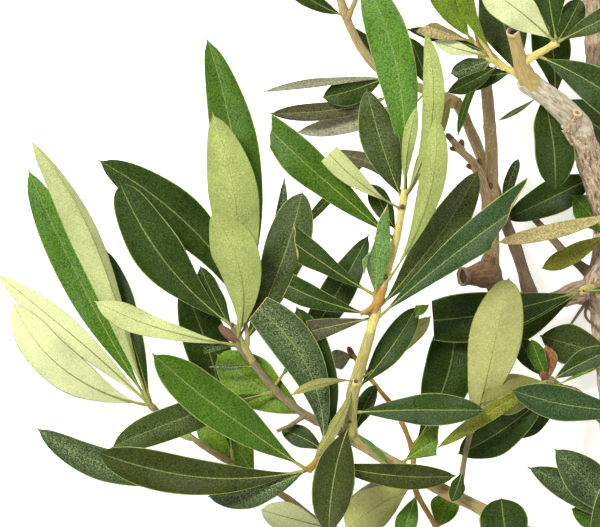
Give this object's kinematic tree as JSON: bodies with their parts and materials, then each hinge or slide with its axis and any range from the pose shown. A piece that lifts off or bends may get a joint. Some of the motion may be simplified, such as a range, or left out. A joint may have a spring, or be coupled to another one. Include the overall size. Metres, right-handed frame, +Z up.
{
  "type": "cut olive branch",
  "caption": "Leafy cut branch of an olive, lying flat: a limb with boughs, twigs and shoots of narrow leaves, dark above and pale below.",
  "frame": {"origin": "centre of the branch's box on the floor that it lies on", "axes": "+Z up from the floor; +Y along the limb, from its cut end to its leading shoot; +X to the right, seen from above"},
  "size_m": [0.289, 0.3286, 0.0819],
  "materials": {
    "limb_bark": "dry grey-brown bark, streaked and cracked",
    "twig_bark": "smooth light brown young bark with small pores",
    "budded_bark": "purple-brown bark with buds",
    "leaf_deep": "leathery dark green upper side with a soft gloss and pale specks",
    "leaf_green": "leathery mid green upper side with a pale midrib",
    "leaf_grey_green": "matte grey-green mottled upper side",
    "leaf_pale": "matte pale green underside with a thin darker midrib",
    "leaf_lime": "young yellow-green leaf, soft gloss"
  },
  "bodies": {
    "root": {"main_limb": "limb_bark", "upper_bough": "limb_bark", "middle_bough": "limb_bark", "lower_bough": "twig_bark", "bottom_bough": "twig_bark", "middle_stem": "twig_bark", "back_twig": "twig_bark", "budded_twig": "budded_bark", "left_shoot": "leaf_deep", "upper_right_shoot": "leaf_deep", "under_bough_shoot": "leaf_deep", "crotch_shoot": "leaf_deep", "knob_shoot": "leaf_deep", "right_mid_shoot": "leaf_deep", "right_twig": "leaf_deep", "bottom_shoot": "leaf_deep", "butt_shoot": "leaf_deep", "middle_top_shoot": "leaf_deep", "leader_shoot": "leaf_deep", "lower_front_shoot": "leaf_green", "center_shoot": "leaf_green", "bottom_twig": "leaf_green", "top_left_shoot": "leaf_grey_green", "right_low_shoot": "leaf_grey_green", "right_upper_shoot": "leaf_grey_green", "far_left_shoot": "leaf_pale", "inner_twig": "leaf_pale", "upper_left_shoot": "leaf_lime", "limb_side_shoot": "leaf_lime"}
  },
  "joints": []
}
